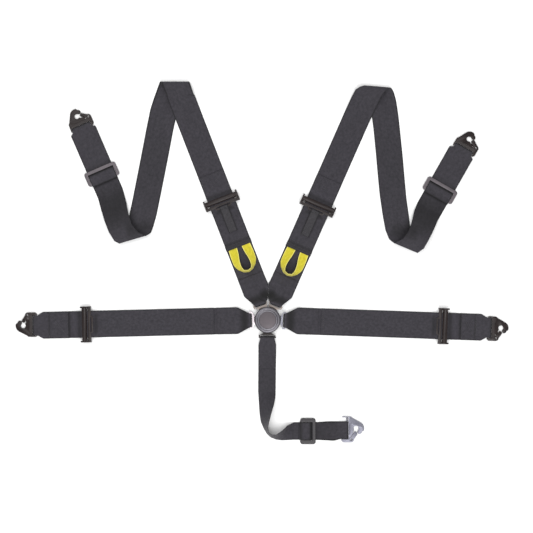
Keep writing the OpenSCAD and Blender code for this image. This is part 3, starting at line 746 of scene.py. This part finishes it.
BLACK_L, BLACK_D, BLACK_E = rgb(54, 51, 58), rgb(27, 26, 31), rgb(15, 14, 17)
WEB = webbing("web_black", 38.0, BLACK_L, BLACK_D, BLACK_E)
WEB_NARROW = webbing("web_black_narrow", 25.0, BLACK_L, BLACK_D, BLACK_E)
WEB_TAB = webbing("web_tab", 12.5, rgb(58, 56, 60), rgb(31, 30, 33), BLACK_E, rib=1.3, pick=0.8)
WEB_PULL = webbing("web_yellow", 12.5, rgb(208, 196, 50), rgb(168, 157, 24), rgb(226, 217, 116),
                   rib=1.5, pick=0.9, sheen=0.2)
# the hem's binding tape: darker than the straps, partly its own colour and partly painted shade
BINDING_SHADED = webbing("web_binding_shaded", 38.6, rgb(44, 42, 46), rgb(22, 21, 25), BLACK_E, rib=1.2, pick=0.7)
THREAD = thread("thread_black", rgb(46, 44, 49), rgb(22, 21, 25))
THREAD_PULL = thread("thread_yellow", rgb(214, 200, 60), rgb(150, 140, 34))
GREY = brushed("buckle_grey", rgb(106, 104, 109), rgb(82, 80, 85), 0.36, centred=True,
               edge=rgb(165, 163, 168), coat=0.1)
DISC = brushed("disc_grey", rgb(84, 79, 82), rgb(69, 65, 68), 0.4, centred=True,
               edge=rgb(140, 136, 138), coat=0.1)
# every wide tongue is the same polished steel; these three copies paint its reflection bright, dim and warm,
# dim and cool
TONGUE_REFLECTION_BRIGHT = brushed("tongue_reflection_bright", rgb(200, 190, 194), rgb(158, 150, 156), 0.27, edge=rgb(225, 223, 222))
TONGUE_REFLECTION_WARM = brushed("tongue_reflection_warm", rgb(124, 116, 111), rgb(98, 91, 87), 0.36, edge=rgb(150, 144, 140))
TONGUE_REFLECTION_COOL = brushed("tongue_reflection_cool", rgb(118, 118, 126), rgb(92, 92, 100), 0.36, edge=rgb(150, 150, 157))
BLACK = brushed("black_steel", rgb(44, 35, 34), rgb(20, 15, 16), 0.34, metallic=0.0, edge=rgb(84, 72, 68),
                edge_r=0.0004, coat=0.04, specular=0.22)
SLIDE = brushed("slide_black", rgb(98, 91, 96), rgb(72, 67, 71), 0.42, metallic=0.2, edge=rgb(120, 113, 118),
                coat=0.05, specular=0.35)
SLIDE_DARK = brushed("slide_dark", rgb(56, 53, 56), rgb(36, 34, 37), 0.42, metallic=0.1, edge=rgb(82, 78, 82),
                     coat=0.05, specular=0.3)
HOOK_GREY = brushed("hook_grey", rgb(124, 124, 134), rgb(96, 96, 106), 0.4, edge=rgb(150, 150, 158))
STEEL = brushed("inner_steel", rgb(190, 188, 186), rgb(140, 138, 137), 0.32, edge=rgb(215, 213, 210))


# ------------------------------------------------------------------ metal and other hard parts
def volume(me):
    """A mesh's volume, and whether it is closed."""
    bm = bmesh.new()
    bm.from_mesh(me)
    v = bm.calc_volume(signed=True)
    closed = all(len(e.link_faces) == 2 for e in bm.edges)
    bm.free()
    return v, closed


ROUND_FROM, SHARP_FROM = 32, 38      # degrees between faces: rounded off, and shaded as an edge
VOLUME_SLACK = 0.04                  # how much a rounded copy's volume may differ from its CAD part's


def softened(node, mat, width, merge=True):
    """A rounded-edge copy of a CAD part, which stands for it and moves with its body."""
    src = frame["nodes"][node]
    name = "look_" + node
    bm = bmesh.new()
    bm.from_mesh(src.data)
    bmesh.ops.remove_doubles(bm, verts=bm.verts, dist=1e-7)
    if merge:
        bmesh.ops.dissolve_limit(bm, angle_limit=math.radians(0.4), verts=bm.verts, edges=bm.edges)
    me = bpy.data.meshes.new(name)
    bm.to_mesh(me)
    bm.free()
    ob = bpy.data.objects.new(name, me)
    bpy.context.collection.objects.link(ob)
    bev = ob.modifiers.new("round", "BEVEL")
    bev.width = width * MM
    bev.segments = 2
    bev.limit_method = "ANGLE"
    bev.angle_limit = math.radians(ROUND_FROM)
    bev.miter_outer = "MITER_ARC"
    graph = bpy.context.evaluated_depsgraph_get()
    rounded = bpy.data.meshes.new_from_object(ob.evaluated_get(graph))
    before, _ = volume(src.data)
    after, closed = volume(rounded)
    ob.modifiers.clear()
    good = closed and abs(after - before) < VOLUME_SLACK * abs(before)
    ob.data = rounded if good else src.data.copy()
    ob.data.materials.clear()
    ob.data.materials.append(mat)
    for p in ob.data.polygons:
        p.use_smooth = True
        p.material_index = 0
    ob.data.set_sharp_from_angle(angle=math.radians(SHARP_FROM))
    if not good:
        print("kept the plain edges of", node, round(after / before, 3), closed)
    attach(ob, src["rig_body"])
    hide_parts(node)
    return ob


ARM_NAMES = list(ARMS) + ["crotch"]
for part, mat, slot_name, width in (
        ("buckle_cover", GREY, "buckle_grey", 0.4), ("buckle_housing", GREY, "buckle_grey", 0.4),
        ("buckle_post", STEEL, "inner_steel", 0.3), ("buckle_screws", STEEL, "inner_steel", 0.3),
        ("buckle_dial", GREY, "buckle_grey", 0.3), ("dial_disc", DISC, "disc_grey", 0.25),
        ("lock_plate", STEEL, "inner_steel", 0.3), ("lock_spring", STEEL, "inner_steel", 0.1)):
    softened(part, mat, width)
for arm in ARM_NAMES:
    plain = arm != "crotch"
    # each wide tongue gets one of the painted-reflection copies of the same steel
    tongue_mat = {"lap_left": TONGUE_REFLECTION_BRIGHT, "lap_right": TONGUE_REFLECTION_COOL, "crotch": BLACK}.get(arm, TONGUE_REFLECTION_WARM)
    softened("tongue_" + arm, tongue_mat, 0.5)
    softened("hook_" + arm, BLACK if plain else HOOK_GREY, 0.5)
    softened("gate_" + arm, BLACK if plain else HOOK_GREY, 0.25)
    softened("spring_" + arm, STEEL, 0.05)
for arm in ARMS:
    softened("adjuster_" + arm, BLACK, 0.4)
    softened("bar_" + arm, STEEL, 0.4)
for arm in SLIDES:
    softened("slide_" + arm, SLIDE_DARK if arm == "crotch" else SLIDE, 0.6, merge=False)


# ------------------------------------------------------------------ webbing pieces
def at_rest_on(strip, v, u):
    """The point and normal of whichever face looks up."""
    p, n = strip.point(v, u, 1, 0.02)
    return (p, n) if n.z >= 0 else strip.point(v, u, -1, 0.02)


def stitched(name, strip, lines, mat, body, pitch=3.6):
    """Rows of thread on a strip's upper face, from (v0, u0) to (v1, u1) in mm, u from the middle."""
    bm = bmesh.new()
    for v0, u0, v1, u1 in lines:
        half = strip.half((v0 + v1) / 2)
        run = math.hypot(v1 - v0, u1 - u0)
        count = max(1, round(run / pitch))
        for i in range(count):
            t0, t1 = (i + 0.12) / count, (i + 0.88) / count
            a, n = at_rest_on(strip, v0 + (v1 - v0) * t0, (u0 + (u1 - u0) * t0) / half)
            b, _ = at_rest_on(strip, v0 + (v1 - v0) * t1, (u0 + (u1 - u0) * t1) / half)
            add_stitch(bm, a, b, n)
    ob = finish_mesh(name, bm, [mat])
    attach(ob, body)
    return ob


def box_x(v0, v1, u):
    """A sewn box with a cross in it."""
    sides = [(v0, -u, v1, -u), (v1, -u, v1, u), (v1, u, v0, u), (v0, u, v0, -u)]
    return sides + [(v0, -u, v1, u), (v0, u, v1, -u)]


def across(v, u):
    return (v, -u, v, u)


def lay(ob, body, nodes):
    """Say what a piece of webbing is: its body and the CAD nodes it stands for, which it hides."""
    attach(ob, body)
    if nodes:
        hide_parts(*nodes)


METAL_SPOTS.append((0, 0, 110))       # the buckle
for arm, (deg, adj, eye) in ARMS.items():
    d, _ = direction(deg)
    METAL_SPOTS.append((d.x * adj, d.y * adj, 75))
    if eye:
        METAL_SPOTS.append((d.x * (eye - EYE_BAR), d.y * (eye - EYE_BAR), 45))
    else:
        METAL_SPOTS.append((d.x * 220, d.y * 220, 48))
for (sx, sy), deg, eye in SLIDES.values():
    d, _ = direction(deg)
    METAL_SPOTS.append((sx, sy, 48))
    METAL_SPOTS.append((sx + d.x * (eye - EYE_BAR), sy + d.y * (eye - EYE_BAR), 45))


BUCKLE = (0, 0)


def shade(origin, deg, along, half_long, strength, half_wide=42.0):
    """A patch of painted shade across the webbing (a painted highlight where strength is negative), placed in
    its arm's or slide's own frame.
    """
    d, _ = direction(deg)
    PAINTED_SHADE_PATCHES.append((origin[0] + d.x * along, origin[1] + d.y * along, deg, half_long, half_wide, strength))


for arm, (deg, adj, eye) in ARMS.items():
    shade(BUCKLE, deg, 65, 20, 0.8)                  # painted shade where the webbing sinks behind its tongue bar
    shade(BUCKLE, deg, 51.5, 4.5, -0.35)             # painted highlight on the crest over the bar
    shade(BUCKLE, deg, 45.5, 3.5, 0.85)              # painted shade on the far side of the loop
    shade(BUCKLE, deg, adj + 19, 9, 0.55)            # painted shadow beside the adjuster
    # painted highlight just beyond that shadow
    shade(BUCKLE, deg, adj + 34, 9, -0.2)
    shade(BUCKLE, deg, adj - 27, 8, 0.5, 24.0)       # painted shadow under the lift plate's edge
    if eye:
        shade(BUCKLE, deg, adj + 49.5, 3.5, 0.75)    # painted shadow at the sewn end's edge
        shade(BUCKLE, deg, eye - 74, 3.5, 0.5)       # end of the sewn box
        # painted shade where the webbing turns round the hook's bar
        shade(BUCKLE, deg, eye - EYE_BAR + 2.5, 4, 0.7)
    else:
        shade(BUCKLE, deg, adj - 58, 38, 0.4, 14.0)  # painted shade round the lift tab
        # painted shade just beyond the hem
        shade(BUCKLE, deg, HEM_AT[arm] + 17, 4, 0.5)
for slide, (middle, deg, eye) in SLIDES.items():
    small = slide == "crotch"
    shade(middle, deg, 9, 6, 0.8)                    # painted shade in the window beside the middle bar
    # painted shadow along the near fold
    shade(middle, deg, -20 if small else -25, 5, 0.75)
    # painted shade on the far side of the slide
    shade(middle, deg, 25, 10, 0.3)
    # painted highlight where the webbing bulges over the middle bar
    shade(middle, deg, -5, 9, -0.12)
    # painted shade where the webbing turns round the hook's bar
    shade(middle, deg, (CROTCH_BAR if small else eye - EYE_BAR) + 2.5, 4, 0.7)
shade((-440, 318), 108, 0, 95, 0.62, 44)             # painted shade on the tail legs, in the lee of the folds
shade((455, 296), 68, 0, 95, 0.62, 42)
shade((-366, 258), 100, 0, 34, 0.45, 30)             # painted shade on the bottoms of the middle legs too
shade((388, 250), 80, 0, 34, 0.45, 30)
shade((-325, 430), 100, 0, 210, 0.16, 44)            # painted shade on the middle legs
shade((345, 430), 84, 0, 210, 0.14, 44)
shade((0, -200), CROTCH_DEG, 0, 150, 0.16, 30)       # painted shade on the crotch strap
# painted shade along the crotch strap over and past its slide
shade((160, -318), 0, 0, 75, 0.3, 34)
# painted shade at the crotch strap's loop round its tongue bar
shade(BUCKLE, 268, 48, 5, 0.7, 30)

def lap_strap(arm):
    """The strap at the tongue, doubled back over its bar, and the sewn end at the hook."""
    deg, adj, eye = ARMS[arm]
    inner = Strip(in_arm(deg, adj_loop(152, adj) + tongue_loop(144), lap_half, lap_half))
    lay(inner.mesh("web_" + arm, [WEB]), "strap_" + arm, ["strap_" + arm])
    stitched("thread_" + arm, inner, [across(4, 35), across(8, 35)], THREAD, "strap_" + arm)
    half = narrowing((eye - 56, 38), (eye - 41, 28.8), (eye - 20, 28.3))
    outer = Strip(in_arm(deg, end_lap(adj, eye), half, half))
    lay(outer.mesh("web_end_" + arm, [WEB]), "outer_" + arm, ["end_" + arm])
    end = outer.length
    seam = end - (eye - 73 - (adj + 50))
    stitched("thread_end_" + arm, outer, box_x(end - 3, seam, 33) + [across(seam - 3, 33)], THREAD,
             "outer_" + arm)


HEM_HALF = 38.6                      # the hem's binding is a little wider than the webbing
NARROW_HALF = 12.5                   # lift tabs and pull loops
PULL_T = 1.1
PULL_Z = 3.0
# half of a pull loop, from its hinge to its tip: (inner edge), (outer edge), and how far the inner edge rises
HALF_LOOP = [((1, 7.3), (1, 32.5), 0.0), ((-10, 8.2), (-10, 33.3), 1.5), ((-20, 9.5), (-19, 33.9), 5.0),
             ((-35, 13), (-33, 34), 13.0), ((-48, 14.5), (-46, 33), 16.5), ((-58, 14), (-60, 26), 20.0),
             ((-66.5, 10.5), (-71.5, 13.5), 24.0), ((-70, 0), (-75.5, 0), 24.5)]


def shoulder_strap(arm):
    """The strap at the tongue with its bound hem."""
    deg, adj, _ = ARMS[arm]
    hem_at = HEM_AT[arm]
    left, right = (lap_half, clip_inner) if arm == "sh_left" else (clip_inner, lap_half)
    inner = Strip(in_arm(deg, adj_loop(hem_at, adj) + tongue_loop(135), left, right))
    lay(inner.mesh("web_" + arm, [WEB]), "strap_" + arm, ["strap_" + arm])
    stitched("thread_" + arm, inner, [across(19, 34), across(22, 34)], THREAD, "strap_" + arm)
    hem = Strip(in_arm(deg, [(hem_at, LAY2 + 0.1), (hem_at + 0.2, LAY3 - 0.1), (hem_at + 3, LAY3),
                             (hem_at + 14, LAY3)], even(HEM_HALF), even(HEM_HALF)))
    lay(hem.mesh("hem_" + arm, [BINDING_SHADED]), "strap_" + arm, [])
    stitched("thread_hem_" + arm, hem, [across(5, 35), across(12, 35)], THREAD, "strap_" + arm, 3.0)


def shoulder_outer(arm, folded):
    """The long strap from the adjuster through its folds and its slide to the hook."""
    deg, adj, _ = ARMS[arm]
    middle, slide_deg, eye = SLIDES[arm]
    bar = eye - EYE_BAR
    half = narrowing((bar - 13.7, 38), (bar - 10.7, 28.3))
    outer = Strip(in_arm(deg, upper_sh(adj), full_half, full_half) + folded
                  + in_arm(slide_deg, slide_path(bar), half, half, middle))
    lay(outer.mesh("web_long_" + arm, [WEB]), "outer_" + arm,
        ["upper_" + arm, "folded_" + arm, "end_" + arm])
    stitched("thread_box_" + arm, outer, box_x(4, 55, 33), THREAD, "outer_" + arm)


def lift_tab(arm):
    """The narrow tab sewn round the adjuster's lift plate."""
    deg, adj, _ = ARMS[arm]
    path = ([(-91.75, 4.9), (-52, 4.9), (-36, 7.2), (-25, 11)] + arc(-17.75, 15.2, 3.3, 225, -95)
            + [(-28, 8.9), (-36, 5.9), (-52, 3.8), (-91.75, 3.8)])
    tab = Strip(in_arm(deg, [(adj + u, z) for u, z in path], even(NARROW_HALF), even(NARROW_HALF)), TAB_T,
                wavy=False, with_painted_shade=False)
    lay(tab.mesh("web_tab_" + arm, [WEB_TAB]), "tab_" + arm, ["tab_" + arm])
    stitched("thread_tab_" + arm, tab, [(2.5, -10, 2.5, 10), (8, -10, 8, 10), (2.5, -10, 26, -10),
                                        (2.5, 10, 26, 10), (26, -10, 26, 10)], THREAD, "tab_" + arm, 3.0)


def pull_loop(arm):
    """The yellow loop that slackens the strap."""
    d, n = direction(ARMS[arm][0])

    def place(p, z, flip):
        q = d * (PULL_AT[arm] + p[0]) + n * (p[1] * flip)
        return (q.x, q.y, z)

    ups = [(place(i, PULL_Z + h, 1), place(o, PULL_Z, 1)) for i, o, h in HALF_LOOP]
    downs = [(place(i, PULL_Z + h, -1), place(o, PULL_Z, -1)) for i, o, h in reversed(HALF_LOOP[:-1])]
    loop = Strip(ups + downs, PULL_T, wavy=False)
    lay(loop.mesh("web_pull_" + arm, [WEB_PULL]), "pull_" + arm, ["pull_" + arm])
    stitched("thread_pull_" + arm, loop, [(4, -9, 4, 9), (loop.length - 4, -9, loop.length - 4, 9)],
             THREAD_PULL, "pull_" + arm, 3.0)


def crotch_strap():
    """One strap from the tongue through its turn and its slide to the smaller hook."""
    middle, slide_deg, _ = SLIDES["crotch"]
    bar = CROTCH_BAR
    to_turn = list(reversed(tongue_loop(140))) + [(CROTCH_STRAIGHT, LAY1)]
    left = narrowing((24, 25), (60, 27.5))
    right = narrowing((24, 25), (bar - 40, 27.5), (bar - 34, 27), (bar - 19, 22.3))
    strap = Strip(in_arm(CROTCH_DEG, to_turn, crotch_half, crotch_half) + turned_crotch()
                  + in_arm(slide_deg, [(-40, LAY1)] + slide_path(bar)[1:], left, right, middle))
    lay(strap.mesh("web_crotch", [WEB_NARROW]), "strap_crotch",
        ["strap_crotch", "turned_crotch", "end_crotch"])
    stitched("thread_crotch", strap, box_x(3, 44, 21), THREAD, "strap_crotch")


lap_strap("lap_left")
lap_strap("lap_right")
for arm, folded in (("sh_left", folded_left()), ("sh_right", folded_right())):
    shoulder_strap(arm)
    shoulder_outer(arm, folded)
    lift_tab(arm)
    pull_loop(arm)
crotch_strap()

# ------------------------------------------------------------------ floor and light
bm = bmesh.new()
bmesh.ops.create_grid(bm, x_segments=1, y_segments=1, size=6.0)
floor = finish_mesh("floor", bm, [floor_paint()], False)
floor.location = (0, 0, -0.0004)


def softbox(name, place, aim, size, power):
    data = bpy.data.lights.new(name, "AREA")
    data.shape = "RECTANGLE"
    data.size, data.size_y = size
    data.energy = power
    ob = bpy.data.objects.new(name, data)
    ob.location = place
    ob.rotation_euler = (Vector(aim) - Vector(place)).to_track_quat("-Z", "Y").to_euler()
    bpy.context.collection.objects.link(ob)


softbox("key", (0.4, -1.5, 3.0), (0, 0.15, 0), (2.4, 1.8), 62)
softbox("fill", (-1.2, 1.7, 2.9), (0, 0.15, 0), (2.4, 2.4), 34)
softbox("top", (0.0, 0.2, 4.2), (0, 0.15, 0), (2.6, 2.6), 34)
bpy.context.scene.view_settings.view_transform = "Standard"
world = bpy.data.worlds.new("studio")
world.use_nodes = True
world.node_tree.nodes["Background"].inputs["Color"].default_value = (1, 1, 1, 1)
world.node_tree.nodes["Background"].inputs["Strength"].default_value = 0.66
bpy.context.scene.world = world
